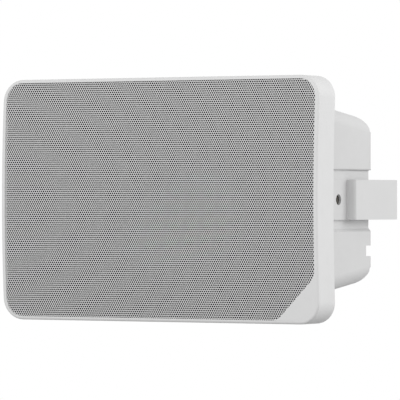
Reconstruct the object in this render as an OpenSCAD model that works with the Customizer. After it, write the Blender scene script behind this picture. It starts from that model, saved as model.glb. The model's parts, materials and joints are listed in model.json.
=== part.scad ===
// Wall speaker with a crowned perforated front, hung in a U bracket that lets it tilt.
// +Z is up and the front faces -Y. The origin is the middle of the bracket's wall side.
// Inside the speaker, depths are measured back from the crest of the front face.

/* [Front frame] */
// Width of the front frame
face_w = 225; // [215:1:250]
// Height of the front frame
face_h = 150; // [144:1:170]
// Corner radius of the front frame
face_corner_r = 13.5; // [12:0.5:18]
// Radius of the crown that the face has from top to bottom
crown_r = 920; // [700:10:1500]
// Depth of the front frame's band
bezel_depth = 21.5; // [21:0.5:26]
// Rounding of the band's front edge
edge_r = 1.5; // [0.8:0.1:2]
// Width of the rim at the two sides of the grille
rim_side = 3.1; // [2.6:0.1:4]
// Width of the rim above and below the grille
rim_top = 2.5; // [2.2:0.1:4]
// Thickness of the front frame's floor, which carries the driver
floor_t = 2.5; // [2:0.1:3]
// Leg of the corner that the grille leaves bare
corner_cut = 25.5; // [20:0.5:32]
// Rounding at the two ends of that corner's edge
cut_r = 8; // [5:0.5:10]

/* [Grille] */
// Thickness of the perforated sheet
sheet_t = 1; // [0.8:0.1:1.5]
// How far the sheet lies behind the rim's face
sheet_recess = 0.4; // [0.2:0.1:0.8]
// Gap around the sheet
sheet_gap = 0.25; // [0.2:0.05:0.5]
// Distance between neighbouring holes
hole_pitch = 9.6; // [9:0.1:14]
// Width of a hole across its corners
hole_d = 6.7; // [5:0.1:7]
// Thickness of the cloth behind the sheet
cloth_t = 0.5; // [0.3:0.1:0.8]
// Width of the ledge that carries sheet and cloth
ledge_w = 2.4; // [2:0.1:4]

/* [Rear housing] */
// How far the housing's side lies inside the front frame's side
side_inset = 6; // [4.5:0.5:9]
// Height of the housing where it meets the front frame
mouth_h = 116.4; // [114:0.2:124]
// Depth of the housing behind the front frame
housing_depth = 60; // [56:1:75]
// Slope of the top and bottom walls in degrees
taper = 7; // [4:0.5:9]
// Wall thickness
wall = 2.5; // [2:0.1:3]
// Rounding between the side and the top or bottom
side_fillet = 10; // [8:0.5:11]
// Rounding of the rear top and bottom corners
rear_round = 15; // [12:0.5:16]
// Rounding of the rear side edges
rear_edge_r = 3; // [2.6:0.1:4]
// Depth of the bracket channel in each side
channel_depth = 1.8; // [1.6:0.1:2.4]
// Height of the channel's floor
channel_h = 35.4; // [35.4:0.2:40]
// Height of the cable slot in the rear edge
slot_h = 6.5; // [6:0.1:8]
// Depth of the cable slot
slot_depth = 6.7; // [6:0.1:8]
// Height at which the cable slot runs
slot_z = -31.5; // [-33:0.5:-30]
// Width of the cable recess
recess_w = 40; // [34:1:50]
// Height of the cable recess
recess_h = 28; // [24:1:28]

/* [Bracket] */
// Distance from the housing's back to the wall
wall_gap = 25.1; // [20:0.5:40]
// Width of the bracket's strap
strap_w = 24.5; // [20:0.5:24.5]
// Thickness of the strap
strap_t = 1.5; // [1.2:0.1:1.5]
// Inside radius of the strap's bends
bend_r = 0.5; // [0.4:0.1:1]
// Depth of the tilt axis behind the face's crest
pivot_depth = 38.6; // [37.5:0.5:42]
// Distance from the tilt axis to the step of the arm
step_back = 11; // [10:0.5:11]
// How far the arm stands outside the flange
arm_offset = 5.9; // [5:0.1:7]
// Diameter of the flange's screw hole
pivot_hole_d = 6.6; // [6.4:0.1:7]
// Distance between the two wall screws
wall_screw_pitch = 120; // [80:5:150]
// Diameter of the wall screw holes
wall_screw_d = 5.5; // [4.5:0.5:6.5]

/* [Driver] */
// Radius of the driver's flange
driver_r = 54; // [53.5:0.1:54.5]
// Thickness of the basket's sheet
basket_t = 1.2; // [1:0.1:1.4]
// Width of the driver's rim outside its cone
rim_w = 17.8; // [17.5:0.1:19]
// Depth of the cone
cone_depth = 13; // [11:0.5:13.5]
// Thickness of the cone's paper
cone_t = 0.6; // [0.5:0.1:0.8]
// Radius of the surround's roll
roll_r = 3.5; // [3.2:0.1:3.7]
// Outer radius of the voice coil's former
former_r = 13; // [12.5:0.1:13]
// Radius of the magnet
magnet_r = 35; // [31:0.5:37]
// Thickness of the magnet
magnet_t = 11; // [9:0.5:13]
// Thickness of the steel plates
plate_t = 5; // [4:0.5:5.5]
// Free travel of the cone each way
cone_travel = 3; // [2:0.5:4]

/* [Hidden] */
$fn = 96;

// Facets of the very large circles that make the crown
crown_fn = 1440;
// Height of the slab that those circles are trimmed to
crown_zone = face_h + 20;
// Air kept between parts that only lie close to each other
air = 0.3;
// Running clearance of a screw in the hole it cuts
screw_air = 0.05;

// Depths behind the crest of the face
seat_depth = sheet_recess + sheet_t + cloth_t;
floor_depth = bezel_depth - floor_t;
back_depth = bezel_depth + housing_depth;
reach = back_depth + wall_gap;

// Housing
housing_x = face_w / 2 - side_inset;
channel_slope = channel_depth;
lip_t = 1.2;
gasket_t = 1;
slot_end = recess_w / 2 - 1;
recess_z = slot_z + recess_h / 2 - slot_h / 2 - 1;
slot_floor = back_depth - slot_depth;

// Housing screws
column_x = housing_x - 13;
column_z = mouth_h / 2 - 20.2;
column_r = 5.6;
post_r = 4.5;
post_end = bezel_depth + 12;
head_r = 3.8;
head_t = 3;
head_depth = back_depth - 19.5;
shank_r = 1.5;

// Tilt inserts
insert_r = 4;
insert_bore_r = 2.5;
insert_len = 10;
insert_mouth = 3;
mouth_r = 3.5;
boss_r = 6.5;
boss_over = 1;
insert_face = housing_x - channel_depth - insert_mouth;
insert_end = insert_face - insert_len;
boss_end = insert_end - boss_over;

// Cable grommet
grommet_bore_r = 3;
grommet_neck_r = 6;
grommet_lip_r = 8;
grommet_lip_t = 2;

// Bracket
flange_x = housing_x;
arm_x = flange_x + arm_offset;
pivot_y = pivot_depth - reach;
step_y = pivot_y + step_back;
flange_tip = strap_w / 2;
tip_r = 4;
outer_bend_r = bend_r + strap_t;

// Driver, with depths behind the front of its flange
cone_r = driver_r - rim_w;
pad_w = 2;
driver_seat_t = 1;
driver_gasket_t = 1;
driver_seat = floor_depth - driver_seat_t;
driver_y = driver_seat - driver_gasket_t - basket_t;
cutout_r = driver_r - 8;
screw_circle_r = driver_r - 3.7;
screw_head_r = 3.2;
screw_head_t = 2.2;
screw_hole_r = 2.2;
screw_post_r = 3.8;
screw_post_end = bezel_depth + 8;
lip_w = 1.7;
suspension_t = 0.5;
roll_mid_r = cone_r + roll_r - 0.2;
roll_out_r = roll_mid_r + roll_r;
rim_out_r = screw_circle_r - screw_head_r - air;
frame_ring_t = 1.5;
former_t = 0.3;
winding_t = 0.4;
gap_air = 0.5;
ledge_depth = cone_depth + 1.6;
ledge_r = cone_r - 4;
basket_neck_r = ledge_r - 3.8;
seat_ring_r = former_r + 2.5;
opening_w = ledge_r * 0.68;
opening_edge = 3.5;
tag_l = 7;
tag_t = 0.8;
tag_z = 5;
plate_depth = ledge_depth + 11.6;
magnet_depth = plate_depth + plate_t;
yoke_depth = magnet_depth + magnet_t;
yoke_back = yoke_depth + plate_t;
pole_r = former_r - former_t - gap_air;
vent_r = 4;
neck_r = basket_neck_r + basket_t;
tag_depth = ledge_depth + 6;
former_front = cone_depth - 1;
former_back = plate_depth + plate_t + cone_travel;

// Electrical parts
side_room = 11;
column_room = 1.4;
core_w = 38;
core_h = 32;
core_t = 14;
leg_w = 12;
window_w = 7;
yoke_w = (core_w - leg_w - 2 * window_w) / 2;
winding_w = leg_w + 2 * window_w - 2 * air;
winding_h = core_h - 2 * yoke_w - 2 * air;
winding_out = 6;
winding_air = 0.1;
core_hole_x = core_w / 2 - 3;
core_hole_z = core_h / 2 - 3;
core_back = back_depth - wall - 8;
board_w = 40;
board_h = 46;
board_t = 1.6;
board_hole_x = board_w / 2 - 4;
board_hole_z = board_h / 2 - 4;
board_back = back_depth - wall - 9.4;
transformer_x = housing_x - wall - side_room - core_w / 2;
board_x = board_w / 2 + side_room + wall - housing_x;
board_z = column_z - column_r - column_room - board_h / 2;
transformer_z = board_z;
small_post_r = 3.2;
small_screw_r = 1.3;
small_hole_r = small_screw_r + 0.2;
small_head_r = 2.6;
small_head_t = 2;
block_ways = 4;
block_way = 5.08;
block_t = 12;
block_h = 10;
wire_hole = [3.2, 3.6];
wire_hole_depth = block_t - 6 - wire_hole.y / 2;

// Leads, which end a hair short of what they are joined to
lead_r = 0.9;
lead_fn = 10;
lead_gap = 0.05;
lead_bend = 5;
lead_run = core_back - 4.5;

plastic = [0.93, 0.93, 0.93];
metal_white = [0.86, 0.86, 0.86];
steel = [0.6, 0.61, 0.63];
black = [0.12, 0.12, 0.13];
rubber = [0.18, 0.18, 0.19];
copper = [0.72, 0.42, 0.22];
brass = [0.75, 0.62, 0.32];

// How far the crowned face lies behind its crest at height z
function crown(z) = crown_r - sqrt(crown_r * crown_r - z * z);

// Half height of the housing at a depth
function half_h(y) = mouth_h / 2 - (y - bezel_depth) * tan(taper);

function unit(v) = v / norm(v);

// Points of the arc that rounds corner p between points a and b
function arc_corner(a, p, b, r, n) =
    let (u = unit(a - p), v = unit(b - p), half = acos(u * v) / 2,
         c = p + unit(u + v) * r / sin(half), t = r / tan(half),
         s = p + u * t - c, e = p + v * t - c,
         from = atan2(s.y, s.x), turn = (atan2(e.y, e.x) - from + 540) % 360 - 180)
    [for (k = [0:n]) c + r * [cos(from + turn * k / n), sin(from + turn * k / n)]];

function rounded(pts, radii, n) =
    let (m = len(pts))
    [for (i = [0:m - 1]) each arc_corner(pts[(i + m - 1) % m], pts[i], pts[(i + 1) % m], radii[i], n)];

// Outline inside the rim, with the bare corner at the lower right, taken in by inset
function grille_outline(inset) =
    let (w = face_w / 2 - rim_side - inset, h = face_h / 2 - rim_top - inset,
         cut = corner_cut - inset * (2 - sqrt(2)),
         r = face_corner_r - rim_side - inset, rc = cut_r - inset)
    rounded([[-w, h], [w, h], [w, cut - h], [w - cut, -h], [-w, -h]], [r, r, rc, rc, r], 8);

// Lays a drawing of the side view along X
module along_x(w) rotate([90, 0, 90]) linear_extrude(w, center = true) children();

// Lays a drawing of the front view along Y from depth y0 to depth y1
module along_y(y0, y1) translate([0, y1, 0]) rotate([90, 0, 0]) linear_extrude(y1 - y0) children();

module rod_x(r, x0, x1) translate([x0, 0, 0]) rotate([0, 90, 0]) cylinder(h = x1 - x0, r = r);

module rod_y(r, y0, y1) translate([0, y0, 0]) rotate([-90, 0, 0]) cylinder(h = y1 - y0, r = r);

module revolve_y() rotate([-90, 0, 0]) rotate_extrude() children();

module ring_y(r0, r1, y0, y1) revolve_y() translate([r0, y0]) square([r1 - r0, y1 - y0]);

// Moves from the row's frame to depths behind the crest of the face
module at_front() translate([0, -reach, 0]) children();

module at_driver() at_front() translate([0, driver_y, 0]) children();

module both_sides() {
    children();
    mirror([1, 0, 0]) children();
}

module four(x, z) for (sx = [-1, 1], sz = [-1, 1]) translate([sx * x, 0, sz * z]) children();

module crown_disc(depth) translate([crown_r, 0]) circle(crown_r - depth, $fn = crown_fn);

// Everything ahead of the crowned surface at a depth
module ahead_of(depth) along_x(face_w + 20) difference() {
    translate([-10, -crown_zone / 2]) square([depth + 20, crown_zone]);
    crown_disc(depth);
}

// Layer between two crowned surfaces
module crowned(d0, d1) along_x(face_w + 20) difference() {
    intersection() {
        crown_disc(d0);
        translate([-10, -crown_zone / 2]) square([d1 + 20, crown_zone]);
    }
    crown_disc(d1);
}

// Right half of the front frame's outline, from the top down, taken in by inset
function half_outline(inset) =
    let (w = face_w / 2 - inset, h = face_h / 2 - inset, r = face_corner_r - inset, n = 9, m = 14)
    concat(
        [for (k = [0:n]) let (a = 90 - 90 * k / n) [w - r + r * cos(a), h - r + r * sin(a)]],
        [for (k = [1:m - 1]) [w, (h - r) * (1 - 2 * k / m)]],
        [for (k = [0:n]) let (a = -90 * k / n) [w - r + r * cos(a), r - h + r * sin(a)]]
    );

function ring_points(inset, depth) =
    let (right = half_outline(inset), n = len(right))
    concat(
        [for (p = right) [p.x, crown(p.y) + depth, p.y]],
        [for (k = [n - 1:-1:0]) let (p = right[k]) [-p.x, crown(p.y) + depth, p.y]]
    );

// Outer form of the front frame: crowned front and back, with a rounded front edge
module bezel_block() {
    steps = 5;
    back_r = 0.8;
    rings = concat(
        [for (k = [0:steps]) let (a = 90 * k / steps) [edge_r * (1 - sin(a)), edge_r * (1 - cos(a))]],
        [[0, bezel_depth - back_r], [back_r, bezel_depth]]
    );
    count = len(half_outline(0));
    loop = 2 * count;
    last = (len(rings) - 1) * loop;
    points = [for (ring = rings) each ring_points(ring[0], ring[1])];
    band = [for (k = [0:len(rings) - 2], j = [0:loop - 1])
        let (f0 = k * loop + j, f1 = k * loop + (j + 1) % loop, b0 = f0 + loop, b1 = f1 + loop)
        each [[f0, b0, b1], [f0, b1, f1]]];
    front = [for (i = [0:count - 2]) each
        [[i, i + 1, loop - 2 - i], [i, loop - 2 - i, loop - 1 - i]]];
    back = [for (i = [0:count - 2]) each
        [[last + i, last + loop - 2 - i, last + i + 1],
         [last + i, last + loop - 1 - i, last + loop - 2 - i]]];
    polyhedron(points, concat(band, front, back), convexity = 6);
}

module front_pocket(inset, depth) intersection() {
    along_y(-5, depth + 10) polygon(grille_outline(inset));
    ahead_of(depth);
}

module front_bezel() color(plastic) at_front() difference() {
    union() {
        difference() {
            bezel_block();
            front_pocket(0, seat_depth);
            front_pocket(ledge_w, floor_depth);
        }
        intersection() {
            rod_y(driver_r + pad_w, driver_seat, bezel_depth + 5);
            ahead_of(floor_depth + floor_t / 2);
        }
        four(column_x, column_z) rod_y(post_r, bezel_depth - 1, post_end);
        driver_screw_places() rod_y(screw_post_r, bezel_depth - 1, screw_post_end);
    }
    rod_y(cutout_r, 0, bezel_depth + 10);
    four(column_x, column_z) rod_y(shank_r + screw_air, bezel_depth + 1.5, post_end + 1);
    driver_screw_places() rod_y(shank_r + screw_air, 0, screw_post_end - 1.5);
}

// Rows of holes inside the sheet's border
module grille_holes() {
    row = hole_pitch * sqrt(3) / 2;
    land = 0.6;
    border = hole_d / 2 + land;
    w = face_w / 2 - rim_side - border;
    h = face_h / 2 - rim_top - border;
    r = face_corner_r - rim_side;
    rows = floor(h / row);
    columns = ceil(w / hole_pitch) + 1;
    cut_line = w + h - corner_cut + border * (2 - sqrt(2));
    for (j = [-rows:rows], i = [-columns:columns]) {
        x = (i + (abs(j) % 2) / 2) * hole_pitch;
        z = j * row;
        in_x = abs(x) - (w - r);
        in_z = abs(z) - (h - r);
        inside = abs(x) <= w && (in_x < 0 || in_z < 0 || norm([in_x, in_z]) <= r);
        if (inside && x - z <= cut_line)
            translate([x, z]) rotate(30) circle(d = hole_d, $fn = 6);
    }
}

module grille() color(metal_white) at_front() difference() {
    intersection() {
        along_y(-5, 15) polygon(grille_outline(sheet_gap));
        crowned(sheet_recess, sheet_recess + sheet_t);
    }
    along_y(-5, 15) grille_holes();
}

module grille_cloth() color(black) at_front() intersection() {
    along_y(-5, 15) polygon(grille_outline(sheet_gap));
    crowned(sheet_recess + sheet_t, seat_depth);
}

// Upper half of the housing's form, with every wall taken in by inset
module half_form(inset) {
    x = housing_x - inset;
    f = side_fillet - inset;
    centre_y = back_depth - rear_round;
    centre_z = half_h(centre_y) - rear_round / cos(taper);
    r = rear_round - inset;
    tangent_y = centre_y + r * sin(taper);
    edge = max(rear_edge_r - inset, 0.4);
    intersection() {
        translate([0, bezel_depth, mouth_h / 2]) rotate([-taper, 0, 0]) along_y(-20, housing_depth + 30) {
            translate([-x, -mouth_h]) square([2 * x, mouth_h - side_fillet]);
            translate([f - x, -side_fillet]) square([2 * (x - f), f]);
            for (s = [-1, 1]) translate([s * (x - f), -side_fillet]) circle(f);
        }
        along_x(face_w) {
            square([tangent_y, mouth_h]);
            square([back_depth - inset, centre_z]);
            translate([centre_y, centre_z]) circle(r);
        }
        linear_extrude(mouth_h) {
            translate([-x, 0]) square([2 * x, back_depth - inset - edge]);
            translate([edge - x, 0]) square([2 * (x - edge), back_depth - inset]);
            for (s = [-1, 1]) translate([s * (x - edge), back_depth - inset - edge]) circle(edge);
        }
    }
}

module housing_form(inset) {
    half_form(inset);
    mirror([0, 0, 1]) half_form(inset);
}

// Section of the bracket channel, seen from the front, with sloping sides
module channel_section(grow) {
    h = channel_h / 2 + grow;
    x = housing_x - channel_depth - grow;
    polygon([[x, -h], [x, h], [x + channel_depth, h + channel_slope],
        [x + channel_depth + 5 + grow, h + channel_slope],
        [x + channel_depth + 5 + grow, -h - channel_slope], [x + channel_depth, -h - channel_slope]]);
}

module cable_recess(grow) {
    translate([-recess_w / 2 - grow, slot_floor - grow, recess_z - recess_h / 2 - grow])
        cube([recess_w + 2 * grow, slot_depth + 10, recess_h + 2 * grow]);
    translate([slot_end, slot_floor - grow, slot_z - slot_h / 2 - grow])
        cube([housing_x, slot_depth + 10, slot_h + 2 * grow]);
}

// What stands inside the housing: the backs of channel, recess and slot, the bosses and the columns
module housing_inner_works() {
    both_sides() along_y(0, back_depth) channel_section(wall);
    cable_recess(wall);
    both_sides() translate([0, pivot_depth, 0]) rod_x(boss_r, boss_end, housing_x);
    four(column_x, column_z) rod_y(column_r, post_end + air, back_depth);
    translate([transformer_x, 0, transformer_z]) four(core_hole_x, core_hole_z)
        rod_y(small_post_r, core_back, back_depth);
    translate([board_x, 0, board_z]) four(board_hole_x, board_hole_z)
        rod_y(small_post_r, board_back, back_depth);
}

module rear_housing() color(plastic) at_front() difference() {
    housing_form(0);
    difference() {
        housing_form(wall);
        housing_inner_works();
    }
    ahead_of(bezel_depth);
    intersection() {
        housing_form(lip_t);
        ahead_of(bezel_depth + gasket_t);
    }
    both_sides() along_y(0, back_depth + 5) channel_section(0);
    cable_recess(0);
    translate([0, 0, recess_z]) rod_y(grommet_neck_r, slot_floor - wall - 5, back_depth);
    both_sides() translate([0, pivot_depth, 0]) {
        rod_x(mouth_r, insert_face - 1, housing_x);
        rod_x(insert_r, boss_end - 1, insert_face);
    }
    four(column_x, column_z) {
        rod_y(screw_hole_r, post_end, back_depth + 5);
        rod_y(head_r + air, head_depth, back_depth + 5);
    }
    translate([transformer_x, 0, transformer_z]) four(core_hole_x, core_hole_z)
        rod_y(small_screw_r + screw_air, core_back - 1, back_depth - wall);
    translate([board_x, 0, board_z]) four(board_hole_x, board_hole_z)
        rod_y(small_screw_r + screw_air, board_back - 1, back_depth - wall);
}

module housing_gasket() color(rubber) at_front() difference() {
    intersection() {
        housing_form(lip_t);
        crowned(bezel_depth, bezel_depth + gasket_t);
    }
    intersection() {
        housing_form(wall);
        ahead_of(bezel_depth + 5);
    }
}

// Cross-shaped recess for a screwdriver, sunk from depth y towards the front
module cross_recess(size, y) for (a = [0, 90]) rotate([0, a, 0])
    translate([-size.x / 2, y - size.y, -size.z / 2]) cube([size.x, size.y + 1, size.z]);

module housing_screws() color(steel) at_front() four(column_x, column_z) {
    cross = [4.4, 1.6, 1];
    rod_y(shank_r, bezel_depth + 2.5, head_depth + 1);
    difference() {
        rod_y(head_r, head_depth, head_depth + head_t);
        cross_recess(cross, head_depth + head_t);
    }
}

module tilt_inserts() color(brass) at_front() both_sides() translate([0, pivot_depth, 0])
difference() {
    rod_x(insert_r, insert_end, insert_face);
    rod_x(insert_bore_r, insert_end - 1, insert_face + 1);
}

module cable_grommet() color(rubber) at_front() translate([0, slot_floor, recess_z]) revolve_y()
difference() {
    union() {
        square([grommet_lip_r, grommet_lip_t]);
        translate([0, -wall]) square([grommet_neck_r, wall]);
        translate([0, -wall - grommet_lip_t]) square([grommet_lip_r, grommet_lip_t]);
    }
    translate([-1, -wall - grommet_lip_t - 1]) square([grommet_bore_r + 1, wall + 2 * grommet_lip_t + 2]);
}

module driver_screw_places() for (a = [45:90:315]) rotate([0, a, 0])
    translate([screw_circle_r, 0, 0]) children();

module driver_basket() color(steel) at_driver() difference() {
    revolve_y() polygon([
        [driver_r, 0], [roll_out_r - 0.6, 0], [ledge_r, ledge_depth], [basket_neck_r, ledge_depth],
        [basket_neck_r, plate_depth - basket_t], [seat_ring_r, plate_depth - basket_t],
        [seat_ring_r, plate_depth], [basket_neck_r + basket_t, plate_depth],
        [basket_neck_r + basket_t, ledge_depth + basket_t], [ledge_r + 0.7, ledge_depth + basket_t],
        [roll_out_r + 0.1, basket_t], [driver_r, basket_t]
    ]);
    for (a = [0:60:300]) rotate([0, a, 0]) translate([ledge_r - 2, opening_edge, -opening_w / 2])
        cube([driver_r - ledge_r, ledge_depth - 2 * opening_edge, opening_w]);
    driver_screw_places() rod_y(screw_hole_r, -1, basket_t + 1);
}

module driver_gasket() color(rubber) at_front() difference() {
    ring_y(cutout_r, driver_r, driver_seat - driver_gasket_t, driver_seat);
    driver_screw_places() rod_y(screw_hole_r, 0, bezel_depth);
}

module driver_screws() color(steel) at_driver() driver_screw_places() {
    rod_y(shank_r, -0.5, 9);
    difference() {
        rod_y(screw_head_r, -screw_head_t, 0);
        mirror([0, 1, 0]) cross_recess([4, 1, 0.9], screw_head_t);
    }
}

module frame_ring() color(black) at_driver()
    ring_y(roll_out_r + 0.5, rim_out_r, -suspension_t - frame_ring_t, -suspension_t);

module surround() color(rubber) at_driver() revolve_y() {
    half_t = suspension_t / 2;
    translate([roll_out_r - half_t, -suspension_t]) square([rim_out_r - roll_out_r + half_t, suspension_t]);
    translate([cone_r - lip_w, -suspension_t])
        square([roll_mid_r - roll_r + half_t - cone_r + lip_w, suspension_t]);
    difference() {
        translate([roll_mid_r, 0]) circle(roll_r + half_t);
        translate([roll_mid_r, 0]) circle(roll_r - half_t);
        square([driver_r, driver_r]);
    }
}

module cone() color(black) at_driver() revolve_y() polygon([
    [cone_r, 0], [cone_r, cone_t], [cone_r - lip_w, cone_t], [former_r, cone_depth + cone_t],
    [former_r, cone_depth], [cone_r - lip_w, 0]
]);

module dust_cap() {
    cap_r = former_r + 2;
    cap_h = 5;
    dome_r = (cap_r * cap_r + cap_h * cap_h) / (2 * cap_h);
    inner = cone_r - lip_w;
    base = cone_depth * (inner - cap_r) / (inner - former_r);
    color(black) at_driver() revolve_y() difference() {
        translate([0, base + dome_r - cap_h]) circle(dome_r);
        translate([0, base + dome_r - cap_h]) circle(dome_r - suspension_t);
        translate([-dome_r, base]) square([2 * dome_r, 2 * dome_r]);
        translate([-2 * dome_r, base - dome_r]) square([2 * dome_r, 3 * dome_r]);
    }
}

module coil_former() color(brass) at_driver()
    ring_y(former_r - former_t, former_r, former_front, former_back);

module coil_winding() color(copper) at_driver()
    ring_y(former_r, former_r + winding_t, plate_depth + 0.2, former_back - 0.4);

module spider() {
    waves = 5;
    steps = 40;
    swing = 0.9;
    inner = former_r;
    outer = basket_neck_r;
    mid = ledge_depth - suspension_t;
    front = [for (k = [0:steps]) [inner + (outer - inner) * k / steps,
        mid + swing * sin(360 * waves * k / steps)]];
    color(brass) at_driver() revolve_y() {
        polygon(concat(front, [for (k = [steps:-1:0]) front[k] + [0, suspension_t]]));
        translate([outer - 0.01, mid]) square([ledge_r - outer - 0.6, suspension_t]);
    }
}

module top_plate() color(steel) at_driver()
    ring_y(former_r + winding_t + gap_air, basket_neck_r - 0.4, plate_depth, magnet_depth);

module magnet() color(black) at_driver() ring_y(former_r + 4, magnet_r, magnet_depth, yoke_depth);

module yoke() color(steel) at_driver() difference() {
    union() {
        rod_y(magnet_r - 2, yoke_depth, yoke_back);
        rod_y(pole_r, plate_depth - 0.5, yoke_depth + 1);
    }
    rod_y(vent_r, 0, yoke_back + 1);
}

module driver_terminals() color(brass) at_driver() {
    strip = [2, 6, 16];
    tag_w = 3;
    difference() {
        translate([neck_r - 2, tag_depth - strip.y / 2, -strip.z / 2]) cube([strip.x + 2, strip.y, strip.z]);
        rod_y(neck_r, 0, yoke_back);
    }
    for (z = [-tag_z, tag_z]) translate([neck_r + strip.x, tag_depth - tag_t / 2, z - tag_w / 2])
        cube([tag_l, tag_t, tag_w]);
}

module at_transformer() at_front()
translate([transformer_x, core_back - core_t / 2, transformer_z]) children();

module transformer_core() color(steel) at_transformer() difference() {
    translate([-core_w / 2, -core_t / 2, -core_h / 2]) cube([core_w, core_t, core_h]);
    for (s = [-1, 1]) translate([s * (leg_w + window_w) / 2 - window_w / 2, -core_t, yoke_w - core_h / 2])
        cube([window_w, 2 * core_t, core_h - 2 * yoke_w]);
    four(core_hole_x, core_hole_z) rod_y(small_hole_r, -core_t, core_t);
}

module transformer_winding() color(copper) at_transformer() difference() {
    hollow = [leg_w, core_t] + 2 * [winding_air, winding_air];
    cube([winding_w, core_t + 2 * winding_out, winding_h], center = true);
    cube([hollow.x, hollow.y, 2 * core_h], center = true);
}

module small_screws(x, z, clamped) four(x, z) {
    rod_y(small_screw_r, -clamped - 0.5, 6);
    rod_y(small_head_r, -clamped - small_head_t, -clamped);
}

module transformer_screws() color(steel) at_front() translate([transformer_x, core_back, transformer_z])
    small_screws(core_hole_x, core_hole_z, core_t);

module connection_board() color([0.16, 0.36, 0.24]) at_front()
translate([board_x, board_back - board_t, board_z]) difference() {
    translate([-board_w / 2, 0, -board_h / 2]) cube([board_w, board_t, board_h]);
    four(board_hole_x, board_hole_z) rod_y(small_hole_r, -1, board_t + 1);
}

module board_screws() color(steel) at_front() translate([board_x, board_back, board_z])
    small_screws(board_hole_x, board_hole_z, board_t);

// Middle of each of the block's ways, across
function way_x(k) = (k - (block_ways - 1) / 2) * block_way;

// Block with screw ways, each with a wire hole below and a screw well in front
module terminal_block() color([0.2, 0.42, 0.3]) at_front()
translate([board_x, board_back - board_t, board_z]) difference() {
    well_r = 1.8;
    well_depth = 3;
    block_w = block_ways * block_way;
    translate([-block_w / 2, -block_t, -block_h / 2]) cube([block_w, block_t, block_h]);
    for (k = [0:block_ways - 1]) translate([way_x(k), 0, 0]) {
        rod_y(well_r, -block_t - 1, well_depth - block_t);
        translate([-wire_hole.x / 2, -wire_hole_depth - wire_hole.y / 2, -block_h / 2 - 1])
            cube([wire_hole.x, wire_hole.y, block_h / 2]);
    }
}

// Points of the arc that rounds corner p of a path in space
function bend_points(a, p, b, r, n) =
    let (u = unit(a - p), v = unit(b - p), half = acos(u * v) / 2,
         c = p + unit(u + v) * r / sin(half), s = p + u * r / tan(half) - c, turn = 180 - 2 * half)
    [for (k = [0:n]) c + s * cos(turn * k / n) - r * u * sin(turn * k / n)];

// Insulated wire along a path, with its bends rounded
module lead(path) {
    last = len(path) - 1;
    line = concat([path[0]],
        [for (i = [1:last - 1]) each bend_points(path[i - 1], path[i], path[i + 1], lead_bend, 4)],
        [path[last]]);
    m = len(line);
    aside = [1, 2, 4];
    points = [for (i = [0:m - 1])
        let (t = unit(line[min(i + 1, m - 1)] - line[max(i - 1, 0)]),
             u = unit(cross(t, aside)), v = cross(t, u))
        each [for (k = [0:lead_fn - 1]) let (a = 360 * k / lead_fn)
            line[i] + lead_r * (u * cos(a) + v * sin(a))]];
    sides = [for (i = [0:m - 2], k = [0:lead_fn - 1])
        let (a = i * lead_fn + k, b = i * lead_fn + (k + 1) % lead_fn)
        each [[a, a + lead_fn, b + lead_fn], [a, b + lead_fn, b]]];
    ends = [[for (k = [0:lead_fn - 1]) k], [for (k = [lead_fn - 1:-1:0]) (m - 1) * lead_fn + k]];
    polyhedron(points, concat(sides, ends), convexity = 4);
}

// From two ways of the block, behind the magnet, to the lower end of the winding
module supply_leads() color([0.2, 0.2, 0.22]) at_front() for (k = [0, 1]) {
    from_x = board_x + way_x(2 + k);
    to_x = transformer_x + (0.5 - k) * 8;
    low = transformer_z - core_h / 2 - 12 + 3 * k;
    way_y = board_back - board_t - wire_hole_depth;
    end_y = core_back - core_t - winding_out / 2;
    lead([
        [from_x, way_y, board_z - block_h / 2 + 1.5], [from_x, way_y, low + 9],
        [from_x + 8, lead_run, low], [transformer_x - core_w / 2 - 6, lead_run, low],
        [to_x, end_y, low], [to_x, end_y, transformer_z - winding_h / 2 - lead_gap]
    ]);
}

// From the side of the winding to the tags on the basket
module driver_leads() color([0.7, 0.12, 0.1]) at_front() for (z = [-tag_z, tag_z]) {
    tag_x = neck_r + 2 + tag_l;
    tag_y = driver_y + tag_depth;
    end_y = core_back - core_t - winding_out / 2;
    end_x = transformer_x - winding_w / 2;
    lead([
        [end_x - lead_gap, end_y, transformer_z + z], [end_x - 9, end_y, transformer_z + z],
        [tag_x + 9, tag_y, z], [tag_x + lead_gap, tag_y, z]
    ]);
}

// Plan of the strap's right half: wall base, arm, step and flange with three bends
module strap_plan() {
    module bend(x, y, a) translate([x, y]) rotate(a) difference() {
        intersection() {
            circle(outer_bend_r);
            square(outer_bend_r);
        }
        circle(bend_r);
    }
    flange_in = flange_x - strap_t;
    translate([0, -strap_t]) square([arm_x - outer_bend_r, strap_t]);
    bend(arm_x - outer_bend_r, -outer_bend_r, 0);
    translate([arm_x - strap_t, step_y + outer_bend_r]) square([strap_t, -2 * outer_bend_r - step_y]);
    bend(arm_x - outer_bend_r, step_y + outer_bend_r, -90);
    translate([flange_x + bend_r, step_y]) square([arm_offset - outer_bend_r - bend_r, strap_t]);
    bend(flange_x + bend_r, step_y - bend_r, 90);
    translate([flange_in, pivot_y - flange_tip]) square([strap_t, step_y - bend_r - pivot_y + flange_tip]);
}

module wall_bracket() color(metal_white) difference() {
    both_sides() translate([0, 0, -strap_w / 2]) linear_extrude(strap_w) strap_plan();
    translate([0, pivot_y, 0]) rod_x(pivot_hole_d / 2, -face_w, face_w);
    for (s = [-1, 1]) translate([s * wall_screw_pitch / 2, 0, 0]) rod_y(wall_screw_d / 2, -10, 10);
    for (s = [-1, 1]) translate([0, pivot_y - flange_tip + tip_r, s * (strap_w / 2 - tip_r)])
        difference() {
            translate([-face_w, -tip_r - 1, s > 0 ? 0 : -tip_r - 1]) cube([2 * face_w, tip_r + 1, tip_r + 1]);
            rod_x(tip_r, -face_w - 1, face_w + 1);
        }
}

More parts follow.
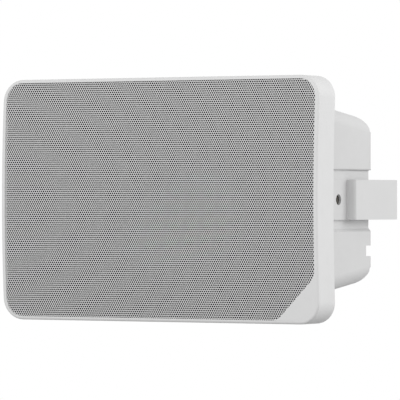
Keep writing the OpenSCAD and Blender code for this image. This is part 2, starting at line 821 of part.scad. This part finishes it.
front_bezel();
grille();
grille_cloth();
rear_housing();
housing_gasket();
housing_screws();
tilt_inserts();
cable_grommet();
driver_basket();
driver_gasket();
driver_screws();
frame_ring();
surround();
cone();
dust_cap();
coil_former();
coil_winding();
spider();
top_plate();
magnet();
yoke();
driver_terminals();
transformer_core();
transformer_winding();
transformer_screws();
connection_board();
terminal_block();
board_screws();
supply_leads();
driver_leads();
wall_bracket();
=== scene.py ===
import json
import math

import bmesh
import bpy
import numpy as np
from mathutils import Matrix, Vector
from mathutils.geometry import delaunay_2d_cdt


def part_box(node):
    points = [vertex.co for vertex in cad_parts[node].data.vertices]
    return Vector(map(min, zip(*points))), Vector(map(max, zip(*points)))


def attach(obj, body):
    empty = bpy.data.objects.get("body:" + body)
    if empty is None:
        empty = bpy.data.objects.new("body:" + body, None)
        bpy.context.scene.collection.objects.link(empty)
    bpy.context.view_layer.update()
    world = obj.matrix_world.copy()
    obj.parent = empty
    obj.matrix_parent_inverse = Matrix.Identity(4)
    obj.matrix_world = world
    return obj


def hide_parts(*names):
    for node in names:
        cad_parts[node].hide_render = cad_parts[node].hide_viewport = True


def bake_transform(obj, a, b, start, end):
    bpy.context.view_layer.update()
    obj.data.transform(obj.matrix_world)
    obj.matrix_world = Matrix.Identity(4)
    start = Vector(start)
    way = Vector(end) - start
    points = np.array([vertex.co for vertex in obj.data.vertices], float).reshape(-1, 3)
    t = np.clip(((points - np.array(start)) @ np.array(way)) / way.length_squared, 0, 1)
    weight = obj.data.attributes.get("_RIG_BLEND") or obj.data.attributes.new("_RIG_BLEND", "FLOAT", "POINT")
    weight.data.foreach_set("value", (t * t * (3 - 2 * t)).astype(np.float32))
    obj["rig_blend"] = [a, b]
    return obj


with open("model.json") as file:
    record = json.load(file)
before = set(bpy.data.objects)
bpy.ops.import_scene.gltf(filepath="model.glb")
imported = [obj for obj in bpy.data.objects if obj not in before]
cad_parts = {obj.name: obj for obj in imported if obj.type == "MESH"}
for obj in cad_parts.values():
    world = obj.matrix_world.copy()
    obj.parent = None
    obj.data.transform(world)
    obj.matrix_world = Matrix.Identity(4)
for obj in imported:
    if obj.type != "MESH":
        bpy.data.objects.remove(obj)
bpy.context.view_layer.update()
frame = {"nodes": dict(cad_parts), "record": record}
nodes = frame["nodes"]

MM = 0.001

# The camera stands to the right of the speaker, level with its middle
CAMERA_PLACE = Vector((1196.07, -2125.2, -2.455)) * MM
CAMERA_TURN = math.radians(29.98)
CAMERA_TILT = math.radians(0.055)
CAMERA_ROLL = math.radians(-0.026)
LENS_MM = 344.7

# The sheet's holes, a little wider than the 1 mm of such sheet, so that it looks as open as in
# the photo, the direction of their first corner in degrees, and the middle hole's place
HOLE_PITCH = 1.5 * MM
HOLE_R = 0.59 * MM
HOLE_SIDES = 9
HOLE_FIRST_CORNER = 30
ROW_PITCH = HOLE_PITCH * math.sqrt(3) / 2
LATTICE_X = -0.24 * MM
LATTICE_Z = -0.05 * MM

# Millimetres to a metre, and how near two points count as one, for the sheet's triangulation
PER_M = 1000
NEAR_MM = 1e-7

# The face, as in the part
FACE_W = 225 * MM
FACE_H = 150 * MM
FACE_CORNER_R = 13.5 * MM
CROWN_R = 920 * MM
PART_RIM_SIDE = 3.1 * MM
PART_RIM_TOP = 2.5 * MM
PART_CORNER_CUT = 25.5 * MM
CUT_R = 8 * MM
SHEET_T = 1 * MM
CLOTH_T = 0.5 * MM

# The rim is a little narrower in the photo, and its edge runs across the outermost holes, so
# sheet and cloth run on under it
RIM_SIDE = 2.65 * MM
RIM_TOP = 2.1 * MM
CORNER_CUT = PART_CORNER_CUT + PART_RIM_SIDE - RIM_SIDE + PART_RIM_TOP - RIM_TOP
SHEET_UNDER = 1.1 * MM
HOLE_OVER = 0.3 * MM
CLOTH_UNDER = 2 * HOLE_OVER
CLOTH_INWARD = 4 * HOLE_OVER
CLOTH_AHEAD = 0.03 * MM

# The housing's rear, as in the part
HOUSING_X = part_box("rear_housing")[1].x
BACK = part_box("rear_housing")[1].y
MOUTH_H = 116.4 * MM
HOUSING_DEPTH = 60 * MM
TAPER = math.radians(7)
REAR_ROUND = 15 * MM
SIDE_FILLET = 10 * MM
PART_EDGE_R = 3 * MM
CHANNEL_X = HOUSING_X - 1.8 * MM
CHANNEL_Z = 17.7 * MM
SLOT_TOP = -28.25 * MM
SLOT_BOTTOM = -34.75 * MM

# The housing's rear side edges are tighter in the photo, and the channel is square at its top
EDGE_R = 0.8 * MM
BROW_Z = 18.25 * MM
BROW_R = 0.6 * MM
LEAD_STEPS = 6
ROUND_STEPS = 8

# How far a strip reaches into the housing, its least width, and a height that sets no limit
OVERLAP = 0.01 * MM
LEAST_WIDTH = 0.001 * MM
NO_LIMIT = 1

# The inserts, their thread, and the neck that reaches to the channel
INSERT_LEN = 10 * MM
INSERT_R = 4 * MM
NECK_R = 3.45 * MM
NECK_END = CHANNEL_X - 0.05 * MM
THREAD_R = 2.5 * MM
THREAD_PITCH = 1 * MM
THREAD_DEPTH = 0.5 * MM
THREAD_STEPS = 8
INSERT_SIDES = 32

# Where surround and spider hold to the cone, the former and the basket
CONE_R = 36.3 * MM
SURROUND_R = 43 * MM
FORMER_R = 13.2 * MM
SPIDER_R = 28.2 * MM

# The floor's place and size, its shade as seen, and the darker one of the light it throws back
FLOOR_DROP = 0.55
FLOOR_R = 1.6
FLOOR_SIDES = 96
FLOOR_SEEN = 0.85
FLOOR_THROWN = 0.35

# Two large soft lamps, one at the right and one in front, in an evenly lit room
ROOM_LIGHT = 0.48
LAMP_SIZE = 1.6
LAMP_DISTANCE = 1.8
MIDDLE = Vector((0, -70, 0)) * MM

# Points closer than WELD are joined, and edges over SHARP_ANGLE stay sharp
WELD = 0.001 * MM
SHARP_ANGLE = math.radians(30)

# Most values of a noise lie between these two, and a finish's gloss varies with it
NOISE_LOW = 0.3
NOISE_HIGH = 0.7
GLOSS_SPREAD = 0.04

# How many grains wide the changes in colour are, how much ridges waver, and cloth's faint gloss
BROAD_GRAINS = 25
RIDGE_WAVER = 0.4
CLOTH_SPECULAR = 0.05


def link(obj, body=None):
    bpy.context.scene.collection.objects.link(obj)
    if body:
        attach(obj, body)
    return obj


def mesh_object(name, points, faces):
    mesh = bpy.data.meshes.new(name)
    mesh.from_pydata(points, [], faces)
    mesh.validate()
    mesh.update()
    return bpy.data.objects.new(name, mesh)


def tidy_normals(mesh, closed=True):
    """Joins points that coincide and shades the mesh smooth, up to its sharp edges"""
    shape = bmesh.new()
    shape.from_mesh(mesh)
    bmesh.ops.remove_doubles(shape, verts=shape.verts, dist=WELD)
    if closed:
        bmesh.ops.recalc_face_normals(shape, faces=shape.faces)
    shape.to_mesh(mesh)
    shape.free()
    mesh.shade_smooth()
    mesh.set_sharp_from_angle(angle=SHARP_ANGLE)


def ringed(name, rings, material, body, ends=True):
    """Closed piece through rings of as many points each, joined end to end where it has no ends"""
    n = len(rings[0])
    points = [p for ring in rings for p in ring]
    faces = []
    for k in range(len(rings) - 1 if ends else len(rings)):
        here, ahead = k * n, (k + 1) % len(rings) * n
        faces += [(here + j, here + (j + 1) % n, ahead + (j + 1) % n, ahead + j) for j in range(n)]
    if ends:
        faces += [tuple(range(n)), tuple(range(len(points) - 1, len(points) - 1 - n, -1))]
    piece = mesh_object(name, points, faces)
    tidy_normals(piece.data)
    piece.data.materials.append(material)
    return link(piece, body)


# Materials

def new_material(name):
    material = bpy.data.materials.new(name)
    material.use_nodes = True
    tree = material.node_tree
    return material, tree, tree.nodes["Principled BSDF"]


def add(tree, kind, **values):
    node = tree.nodes.new(kind)
    for key, value in values.items():
        setattr(node, key, value)
    return node


def place(tree):
    """Coordinates fixed to the piece, in metres"""
    return add(tree, "ShaderNodeTexCoord").outputs["Object"]


def noise(tree, vector, size, detail=3.0):
    node = add(tree, "ShaderNodeTexNoise")
    node.inputs["Scale"].default_value = 1 / size
    node.inputs["Detail"].default_value = detail
    tree.links.new(vector, node.inputs["Vector"])
    return node.outputs["Fac"]


def ranged(tree, value, low, high):
    """A noise's value, spread from low to high"""
    node = add(tree, "ShaderNodeMapRange")
    node.inputs["From Min"].default_value = NOISE_LOW
    node.inputs["From Max"].default_value = NOISE_HIGH
    node.inputs["To Min"].default_value = low
    node.inputs["To Max"].default_value = high
    tree.links.new(value, node.inputs["Value"])
    return node.outputs["Result"]


def tinted(tree, value, color, spread):
    """The colour, a little lighter and darker with value"""
    node = add(tree, "ShaderNodeMix", data_type="RGBA")
    node.inputs["A"].default_value = [c * (1 - spread) for c in color] + [1]
    node.inputs["B"].default_value = [min(1, c * (1 + spread)) for c in color] + [1]
    tree.links.new(ranged(tree, value, 0, 1), node.inputs["Factor"])
    return node.outputs["Result"]


def bump(tree, shader, height, distance):
    node = add(tree, "ShaderNodeBump")
    node.inputs["Distance"].default_value = distance
    tree.links.new(height, node.inputs["Height"])
    tree.links.new(node.outputs["Normal"], shader.inputs["Normal"])


def ridge_scale(pitch):
    """Scale at which the wave texture has one ridge to a pitch"""
    return math.pi / (10 * pitch)


def grained(name, color, gloss, grain, depth, spread, metal=0.0):
    """Surface with a grain of that size and depth, whose colour and gloss vary softly"""
    material, tree, shader = new_material(name)
    where = place(tree)
    broad = noise(tree, where, grain * BROAD_GRAINS, detail=2)
    fine = noise(tree, where, grain)
    tree.links.new(tinted(tree, broad, color, spread), shader.inputs["Base Color"])
    tree.links.new(ranged(tree, fine, gloss - GLOSS_SPREAD, gloss + GLOSS_SPREAD),
                   shader.inputs["Roughness"])
    shader.inputs["Metallic"].default_value = metal
    bump(tree, shader, fine, depth)
    return material


def banded(name, color, gloss, pitch, depth, axis, metal, spread=0.2):
    """Surface with parallel ridges of that pitch, such as turns of wire or stacked sheets"""
    material, tree, shader = new_material(name)
    wave = add(tree, "ShaderNodeTexWave", wave_type="BANDS", bands_direction=axis)
    wave.inputs["Scale"].default_value = ridge_scale(pitch)
    wave.inputs["Distortion"].default_value = RIDGE_WAVER
    tree.links.new(place(tree), wave.inputs["Vector"])
    tree.links.new(tinted(tree, wave.outputs["Fac"], color, spread), shader.inputs["Base Color"])
    shader.inputs["Roughness"].default_value = gloss
    shader.inputs["Metallic"].default_value = metal
    bump(tree, shader, wave.outputs["Fac"], depth)
    return material


def woven(name, color, gloss, pitch, depth, spread=0.35):
    """Cloth with threads along X and Z"""
    material, tree, shader = new_material(name)
    where = place(tree)
    both = add(tree, "ShaderNodeMath", operation="MULTIPLY")
    for k, axis in enumerate("XZ"):
        wave = add(tree, "ShaderNodeTexWave", wave_type="BANDS", bands_direction=axis)
        wave.inputs["Scale"].default_value = ridge_scale(pitch)
        tree.links.new(where, wave.inputs["Vector"])
        tree.links.new(wave.outputs["Fac"], both.inputs[k])
    tree.links.new(tinted(tree, both.outputs["Value"], color, spread), shader.inputs["Base Color"])
    shader.inputs["Roughness"].default_value = gloss
    shader.inputs["Specular IOR Level"].default_value = CLOTH_SPECULAR
    bump(tree, shader, both.outputs["Value"], depth)
    return material


# Colour, roughness, size and depth of the grain or the ridges, and how far the colour varies
MATERIALS = {
    "shell_plastic": grained("moulded_plastic", (0.8, 0.8, 0.8), 0.5, 0.35 * MM, 0.012 * MM, 0.01),
    "grille_paint": grained("grille_powder_coat", (0.8, 0.8, 0.8), 0.45, 0.5 * MM, 0.01 * MM, 0.01),
    "bracket_paint": grained("bracket_powder_coat", (0.72, 0.72, 0.72), 0.42, 0.6 * MM, 0.02 * MM,
                             0.01),
    "acoustic_cloth": woven("acoustic_cloth", (0.006, 0.006, 0.0065), 0.95, 0.4 * MM, 0.1 * MM),
    "seal_rubber": grained("seal_rubber", (0.03, 0.03, 0.032), 0.7, 0.8 * MM, 0.02 * MM, 0.15),
    "plated_steel": grained("plated_steel", (0.55, 0.56, 0.58), 0.32, 0.5 * MM, 0.004 * MM, 0.06,
                            metal=1),
    "driver_steel": grained("driver_steel", (0.03, 0.03, 0.033), 0.4, 0.6 * MM, 0.01 * MM, 0.1),
    "cone_paper": grained("cone_paper", (0.035, 0.035, 0.038), 0.85, 1.2 * MM, 0.05 * MM, 0.2),
    "former_film": grained("former_film", (0.45, 0.2, 0.04), 0.3, 1 * MM, 0.002 * MM, 0.1),
    "spider_cloth": woven("spider_cloth", (0.45, 0.3, 0.08), 0.7, 0.5 * MM, 0.1 * MM, 0.25),
    "ferrite": grained("ferrite", (0.06, 0.06, 0.065), 0.6, 0.7 * MM, 0.02 * MM, 0.12),
    "winding_wire": banded("winding_wire", (0.6, 0.22, 0.08), 0.35, 0.4 * MM, 0.1 * MM, "Y",
                           metal=0.9),
    "insert_brass": grained("insert_brass", (0.62, 0.45, 0.18), 0.3, 0.4 * MM, 0.004 * MM, 0.08,
                            metal=1),
    "lamination_steel": banded("lamination_steel", (0.3, 0.3, 0.32), 0.45, 0.5 * MM, 0.05 * MM, "Y",
                               metal=0.9),
    "board_green": grained("board_green", (0.02, 0.13, 0.05), 0.35, 1.5 * MM, 0.01 * MM, 0.15),
    "terminal_plastic": grained("terminal_plastic", (0.04, 0.2, 0.08), 0.4, 0.5 * MM, 0.01 * MM, 0.05),
    "lead_sleeve": grained("lead_sleeve", (0.3, 0.02, 0.015), 0.45, 0.6 * MM, 0.01 * MM, 0.08),
}

# Darker copies of a slot's material, as painted shade. The housing's plastic, the same as the front frame's,
# is darker for the shade on it
SHADED_HOUSING_PLASTIC = grained("shaded_housing_plastic", (0.71, 0.71, 0.71), 0.5, 0.35 * MM, 0.012 * MM, 0.01)
# Painted shade: the inserts are darker than their slot's brass, for the shade deep in their holes
INSERT_PAINTED_SHADE = grained("insert_painted_shade", (0.16, 0.15, 0.13), 0.45, 0.4 * MM, 0.004 * MM, 0.08, metal=1)
PAINTED_SHADE_COPIES = {"rear_housing": SHADED_HOUSING_PLASTIC, "tilt_inserts": INSERT_PAINTED_SHADE}


def dress_cad_nodes():
    for part in frame["record"]["subparts"]:
        mesh = nodes[part["node"]].data
        mesh.materials.clear()
        mesh.materials.append(PAINTED_SHADE_COPIES.get(part["node"], MATERIALS[part["material_slot"]]))


# Curve and outline of the face

def crown(z):
    """How far the face's curve lies behind its middle at height z"""
    return CROWN_R - math.sqrt(CROWN_R * CROWN_R - z * z)


def arc_corner(a, p, b, r, steps=10):
    """Points of the arc that rounds corner p between points a and b"""
    u, v = (a - p).normalized(), (b - p).normalized()
    half = u.angle(v) / 2
    centre = p + (u + v).normalized() * (r / math.sin(half))
    start = p + u * (r / math.tan(half)) - centre
    turn = start.angle_signed(p + v * (r / math.tan(half)) - centre)
    points = []
    for k in range(steps + 1):
        cos, sin = math.cos(turn * k / steps), math.sin(turn * k / steps)
        points.append(centre + Vector((start.x * cos + start.y * sin, start.y * cos - start.x * sin)))
    return points


def grille_outline(inset):
    """The sheet's outline, seen from the front, with the corner that it leaves bare"""
    w = FACE_W / 2 - RIM_SIDE - inset
    h = FACE_H / 2 - RIM_TOP - inset
    cut = CORNER_CUT - inset * (2 - math.sqrt(2))
    r = FACE_CORNER_R - RIM_SIDE - inset
    corners = [Vector(p) for p in ((-w, h), (w, h), (w, cut - h), (w - cut, -h), (-w, -h))]
    radii = [r, r, CUT_R - inset, CUT_R - inset, r]
    points = []
    for i, p in enumerate(corners):
        points += arc_corner(corners[i - 1], p, corners[(i + 1) % len(corners)], radii[i])
    return points


# Front frame

def wider_opening(p):
    """The point p of the part's front frame, with the rim's inner wall set out to the photo's rim"""
    w, h = FACE_W / 2 - PART_RIM_SIDE, FACE_H / 2 - PART_RIM_TOP
    r = FACE_CORNER_R - PART_RIM_SIDE
    over_x, over_z = abs(p.x) - (w - r), abs(p.z) - (h - r)
    near = 0.02 * MM
    at_side = abs(abs(p.x) - w) < near and over_z < near
    at_top = abs(abs(p.z) - h) < near and over_x < near
    in_corner = over_x > 0 and over_z > 0 and abs(math.hypot(over_x, over_z) - r) < near
    if not (at_side or at_top or in_corner):
        return p
    x = p.x + math.copysign((PART_RIM_SIDE - RIM_SIDE) * min(max(over_x / r, 0), 1), p.x)
    z = p.z + math.copysign((PART_RIM_TOP - RIM_TOP) * min(max(over_z / r, 0), 1), p.z)
    return Vector((x, p.y + crown(z) - crown(p.z), z))


def front_frame():
    """The part's front frame with the photo's narrower rim, shaded smooth"""
    mesh = nodes["front_bezel"].data.copy()
    for v in mesh.vertices:
        v.co = wider_opening(v.co.copy())
    if "custom_normal" in mesh.attributes:
        mesh.attributes.remove(mesh.attributes["custom_normal"])
    tidy_normals(mesh, closed=False)
    shell = link(bpy.data.objects.new("front_frame", mesh), "speaker")
    weighted = shell.modifiers.new("weighted", "WEIGHTED_NORMAL")
    weighted.keep_sharp = True
    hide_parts("front_bezel")


def cloth_edge():
    """Border of the black cloth, which runs on under the outermost holes"""
    outer, inner = grille_outline(-CLOTH_UNDER), grille_outline(CLOTH_INWARD)
    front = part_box("grille_cloth")[0].y - CLOTH_AHEAD
    back = front + CLOTH_T
    rings = [[Vector((p.x, y + crown(p.y), p.y)) for p in line]
             for line, y in ((outer, front), (outer, back), (inner, back), (inner, front))]
    ringed("cloth_edge", rings, MATERIALS["acoustic_cloth"], "speaker", ends=False)


# Housing

def round_z(y):
    """Height of the housing's rear round at y"""
    middle = BACK - REAR_ROUND
    z = MOUTH_H / 2 - (HOUSING_DEPTH - REAR_ROUND) * math.tan(TAPER) - REAR_ROUND / math.cos(TAPER)
    return z + math.sqrt(max(0, REAR_ROUND ** 2 - (y - middle) ** 2))


def fillet_z(x, y):
    """Height at which the fillet between the side and the top reaches x"""
    middle = MOUTH_H / 2 - (HOUSING_DEPTH + y - BACK) * math.tan(TAPER) - SIDE_FILLET / math.cos(TAPER)
    return middle + math.sqrt(max(0, SIDE_FILLET ** 2 - (x - HOUSING_X + SIDE_FILLET) ** 2))


def slope_z(x):
    """Height of the part's channel at x, whose flanks slope"""
    return CHANNEL_Z + x - CHANNEL_X


def brow_z(x):
    """Height of the channel's square top at x, with its edge rounded"""
    over = x - (HOUSING_X - BROW_R)
    if over <= 0:
        return BROW_Z
    return BROW_Z + BROW_R - math.sqrt(max(0, BROW_R ** 2 - over ** 2))


def edge_x(y, r):
    """Reach of the housing's side at y, with a rear edge of radius r"""
    return HOUSING_X - r + math.sqrt(max(0, r ** 2 - max(0, y - BACK + r) ** 2))


def rear_edge(name, side, bottom, top):
    """Strip that fills the part's rear side edge out to the tighter one, between two heights"""
    start, turn = BACK - PART_EDGE_R, BACK - EDGE_R
    ys = [start + (turn - start) * k / LEAD_STEPS for k in range(LEAD_STEPS)]
    ys += [turn + EDGE_R * math.sin(math.pi / 2 * k / ROUND_STEPS) for k in range(ROUND_STEPS + 1)]
    rings = []
    for y in ys:
        a, b = edge_x(y, PART_EDGE_R) - OVERLAP, edge_x(y, EDGE_R)
        low = [max(bottom(x), -round_z(y), -fillet_z(x, y)) for x in (a, b)]
        high = [min(top(x), round_z(y), fillet_z(x, y)) for x in (a, b)]
        rings.append([(side * a, y, low[0]), (side * b, y, low[1]), (side * b, y, high[1]),
                      (side * a, y, high[0])])
    ringed(name, rings, SHADED_HOUSING_PLASTIC, "speaker")


def channel_brow(name, side):
    """Wedge that makes the top of the channel square"""
    inner = CHANNEL_X + BROW_Z - CHANNEL_Z
    start = BACK - PART_EDGE_R
    end = start + math.sqrt(PART_EDGE_R ** 2 - (inner - HOUSING_X + PART_EDGE_R) ** 2)
    ys = [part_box("rear_housing")[0].y]
    ys += [start + (end - start) * k / LEAD_STEPS for k in range(LEAD_STEPS + 1)]
    rings = []
    for y in ys:
        outer = max(edge_x(y, PART_EDGE_R), inner + LEAST_WIDTH)
        line = [inner + (outer - inner) * k / ROUND_STEPS for k in range(ROUND_STEPS + 1)]
        ring = [(side * x, y, brow_z(x)) for x in line]
        ring += [(side * x, y, slope_z(x) + OVERLAP) for x in reversed(line)]
        rings.append(ring)
    ringed(name, rings, SHADED_HOUSING_PLASTIC, "speaker")


def housing_edges():
    """Strips and wedges of both sides, broken by the channels and by the slot on the right"""
    for side, word in ((1, "right"), (-1, "left")):
        slot_top = SLOT_TOP if side > 0 else -NO_LIMIT
        rear_edge(f"upper_rear_edge_{word}", side, brow_z, lambda x: NO_LIMIT)
        rear_edge(f"lower_rear_edge_{word}", side, lambda x: slot_top, lambda x: -slope_z(x))
        channel_brow(f"channel_brow_{word}", side)
    rear_edge("bottom_rear_edge_right", 1, lambda x: -NO_LIMIT, lambda x: SLOT_BOTTOM)


# Inserts

def threaded_inserts():
    """Both inserts, with their thread and a neck that reaches to the channel"""
    low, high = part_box("tilt_inserts")
    middle_y, middle_z, face = (low.y + high.y) / 2, (low.z + high.z) / 2, high.x
    back = face - INSERT_LEN
    bore = NECK_END - back
    steps = int(bore / THREAD_PITCH * THREAD_STEPS)
    shapes = [(back, INSERT_R), (face, INSERT_R), (face, NECK_R), (NECK_END, NECK_R)]
    shapes += [(NECK_END - bore * k / steps, None) for k in range(steps + 1)]
    n, m = INSERT_SIDES, len(shapes)
    points, faces = [], []
    for side in (1, -1):
        first = len(points)
        for x, r in shapes:
            for k in range(n):
                a = 2 * math.pi * k / n
                phase = (x / THREAD_PITCH + k / n) % 1
                reach = r or THREAD_R + THREAD_DEPTH * (1 - abs(2 * phase - 1))
                points.append((side * x, middle_y + reach * math.cos(a), middle_z + reach * math.sin(a)))
        for k in range(m):
            here, ahead = first + k * n, first + (k + 1) % m * n
            faces += [(here + j, here + (j + 1) % n, ahead + (j + 1) % n, ahead + j) for j in range(n)]
    inserts = mesh_object("threaded_inserts", points, faces)
    tidy_normals(inserts.data)
    inserts.data.materials.append(INSERT_PAINTED_SHADE)
    link(inserts, "speaker")
    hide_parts("tilt_inserts")


# Grille

def loop_edges(loop):
    places = [tuple(p) for p in loop]
    return list(zip(places, places[1:] + places[:1]))


def inside(x, z, edges):
    """Which of the points lie inside the closed loops that the edges make"""
    found = np.zeros(x.shape, bool)
    for (x0, z0), (x1, z1) in edges:
        crosses = (z0 > z) != (z1 > z)
        with np.errstate(divide="ignore", invalid="ignore"):
            found ^= crosses & (x < (x1 - x0) * (z - z0) / (z1 - z0) + x0)
    return found


def hole_places(loop):
    """Column and row of each hole whose middle lies inside the loop, and that middle"""
    rows = int(FACE_H / ROW_PITCH / 2) + 1
    columns = int(FACE_W / HOLE_PITCH / 2) + 2
    j, i = np.mgrid[-rows:rows + 1, -columns:columns + 1]
    j, i = j.ravel(), i.ravel()
    x = LATTICE_X + (i + (j % 2) / 2) * HOLE_PITCH
    z = LATTICE_Z + j * ROW_PITCH
    kept = inside(x, z, loop_edges(loop))
    return i[kept], j[kept], x[kept], z[kept]


def web_faces(number):
    """Faces between neighbouring holes, whose nine corners count round from the first corner"""
    def at(hole, corner):
        return hole * HOLE_SIDES + corner

    faces = []
    for (i, j), a in number.items():
        odd = j % 2
        right = number.get((i + 1, j))
        upper_right = number.get((i + odd, j + 1))
        upper_left = number.get((i + odd - 1, j + 1))
        if right is not None:
            faces.append((at(a, 8), at(right, 4), at(right, 3), at(a, 0)))
        if upper_right is not None:
            faces.append((at(a, 0), at(upper_right, 6), at(upper_right, 5), at(a, 1)))
        if upper_left is not None:
            faces.append((at(a, 2), at(upper_left, 7), at(upper_left, 6), at(a, 3)))
        if right is not None and upper_right is not None:
            faces.append((at(a, 0), at(right, 3), at(upper_right, 6)))
        if upper_left is not None and upper_right is not None:
            faces.append((at(a, 1), at(upper_right, 5), at(upper_right, 4),
                          at(upper_left, 8), at(upper_left, 7), at(a, 2)))
    return faces


def grille_sheet():
    """Front skin of the perforated sheet, with every hole, and the turned edge round it"""
    outline = grille_outline(-SHEET_UNDER)
    columns, rows, xs, zs = hole_places(grille_outline(-HOLE_OVER))
    number = {(int(i), int(j)): k for k, (i, j) in enumerate(zip(columns, rows))}
    angles = np.radians(HOLE_FIRST_CORNER + np.arange(HOLE_SIDES) * 360 / HOLE_SIDES)
    ring_x = xs[:, None] + HOLE_R * np.cos(angles)
    ring_z = zs[:, None] + HOLE_R * np.sin(angles)
    flat = np.stack([ring_x.ravel(), ring_z.ravel()], axis=1)
    faces = web_faces(number)
    faces += border_faces(flat, faces, len(number), outline)
    loop = len(flat)
    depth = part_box("grille")[0].y
    points = [(x, depth + crown(z), z) for x, z in flat]
    points += [(p.x, depth + crown(p.y), p.y) for p in outline]
    points += [(p.x, depth + SHEET_T + crown(p.y), p.y) for p in outline]
    m = len(outline)
    for k in range(m):
        a, b = loop + k, loop + (k + 1) % m
        faces.append((a, b, b + m, a + m))
    sheet = mesh_object("grille_sheet", points, faces)
    sheet.data.materials.append(MATERIALS["grille_paint"])
    link(sheet, "speaker")
    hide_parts("grille")


def border_faces(flat, faces, holes, outline):
    """Triangles between the outermost holes and the sheet's outline, worked out in millimetres"""
    edges = {}
    rings = [tuple(hole * HOLE_SIDES + c for c in range(HOLE_SIDES)) for hole in range(holes)]
    for face in faces + rings:
        for k, a in enumerate(face):
            key = tuple(sorted((a, face[(k + 1) % len(face)])))
            edges[key] = edges.get(key, 0) + 1
    rim = [key for key, count in edges.items() if count == 1]
    used = sorted({a for key in rim for a in key})
    local = {a: k for k, a in enumerate(used)}
    base, m = len(used), len(outline)
    points = [Vector(flat[a]) * PER_M for a in used] + [p * PER_M for p in outline]
    wanted = [(local[a], local[b]) for a, b in rim]
    wanted += [(base + k, base + (k + 1) % m) for k in range(m)]
    places, _, triangles, origin = delaunay_2d_cdt(points, wanted, [], 0, NEAR_MM)[:4]
    back = [(used[o[0]] if o[0] < base else len(flat) + o[0] - base) for o in origin]
    middles = np.array([sum((places[a] for a in t), Vector((0, 0))) / 3 for t in triangles]) / PER_M
    bounding = loop_edges(outline) + [(flat[a], flat[b]) for a, b in rim]
    kept = inside(middles[:, 0], middles[:, 1], bounding)
    return [tuple(back[a] for a in t) for t, keep in zip(triangles, kept) if keep]


# Surround and spider

def bending_ring(node, inner, outer):
    """Copy of a ring that follows the cone up to the radius inner and the speaker from outer on"""
    mesh = nodes[node].data.copy()
    ring = link(bpy.data.objects.new(f"bending_{node}", mesh))
    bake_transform(ring, "speaker", "cone_assembly", (outer, 0, 0), (inner, 0, 0))
    reach = np.array([math.hypot(v.co.x, v.co.z) for v in mesh.vertices])
    share = np.clip((outer - reach) / (outer - inner), 0, 1)
    smooth = share * share * (3 - 2 * share)
    mesh.attributes["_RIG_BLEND"].data.foreach_set("value", smooth.astype(np.float32))
    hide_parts(node)


# Camera, floor and light

def photo_camera():
    data = bpy.data.cameras.new("photo_camera")
    data.lens = LENS_MM
    camera = bpy.data.objects.new("photo_camera", data)
    camera.location = CAMERA_PLACE
    camera.rotation_euler = (math.pi / 2 + CAMERA_TILT, CAMERA_ROLL, CAMERA_TURN)
    bpy.context.scene.camera = link(camera)


def seen_plainly(tree):
    """1 where the camera, a mirror or glass looks, and 0 for the light that falls on things"""
    path = add(tree, "ShaderNodeLightPath")
    seen = path.outputs["Is Camera Ray"]
    for ray in ("Is Glossy Ray", "Is Transmission Ray"):
        node = add(tree, "ShaderNodeMath", operation="MAXIMUM")
        tree.links.new(seen, node.inputs[0])
        tree.links.new(path.outputs[ray], node.inputs[1])
        seen = node.outputs["Value"]
    return seen


def floor():
    """Pale floor some way below, since the speaker hangs on a wall, which throws little light back"""
    turns = [2 * math.pi * k / FLOOR_SIDES for k in range(FLOOR_SIDES)]
    rim = [(FLOOR_R * math.cos(a), FLOOR_R * math.sin(a), -FLOOR_DROP) for a in turns]
    disc = mesh_object("floor", rim, [tuple(range(FLOOR_SIDES))])
    material = grained("floor_paint", (FLOOR_SEEN, FLOOR_SEEN, FLOOR_SEEN), 0.8, 4 * MM, 0.05 * MM, 0.01)
    tree = material.node_tree
    shader = tree.nodes["Principled BSDF"]
    paint = shader.inputs["Base Color"].links[0].from_socket
    dim = add(tree, "ShaderNodeMix", data_type="RGBA")
    tree.links.new(seen_plainly(tree), dim.inputs["Factor"])
    dim.inputs["A"].default_value = (FLOOR_THROWN, FLOOR_THROWN, FLOOR_THROWN, 1)
    tree.links.new(paint, dim.inputs["B"])
    tree.links.new(dim.outputs["Result"], shader.inputs["Base Color"])
    disc.data.materials.append(material)
    link(disc)


def world_light():
    """Dim even light from all around, before a white background"""
    world = bpy.data.worlds.new("studio")
    bpy.context.scene.world = world
    world.use_nodes = True
    tree = world.node_tree
    background = tree.nodes["Background"]
    background.inputs["Color"].default_value = (1, 1, 1, 1)
    mix = add(tree, "ShaderNodeMix", data_type="FLOAT")
    tree.links.new(seen_plainly(tree), mix.inputs["Factor"])
    mix.inputs["A"].default_value = ROOM_LIGHT
    mix.inputs["B"].default_value = 1.0
    tree.links.new(mix.outputs["Result"], background.inputs["Strength"])


def soft_lamp(name, azimuth, elevation, share):
    """Large square lamp that lights a surface turned to it with that share of full white"""
    data = bpy.data.lights.new(name, "AREA")
    data.size = LAMP_SIZE
    data.energy = share * math.pi ** 2 * LAMP_DISTANCE ** 2
    lamp = bpy.data.objects.new(name, data)
    a, e = math.radians(azimuth), math.radians(elevation)
    way = Vector((math.cos(a) * math.cos(e), math.sin(a) * math.cos(e), math.sin(e)))
    lamp.location = MIDDLE + way * LAMP_DISTANCE
    lamp.rotation_euler = way.to_track_quat("Z", "Y").to_euler()
    lamp.visible_camera = False
    link(lamp)


bpy.context.scene.view_settings.view_transform = "Standard"
photo_camera()
floor()
world_light()
soft_lamp("right_lamp", azimuth=30, elevation=18, share=0.54)
soft_lamp("front_lamp", azimuth=-90, elevation=18, share=0.48)
dress_cad_nodes()
front_frame()
grille_sheet()
cloth_edge()
housing_edges()
threaded_inserts()
bending_ring("surround", CONE_R, SURROUND_R)
bending_ring("spider", FORMER_R, SPIDER_R)
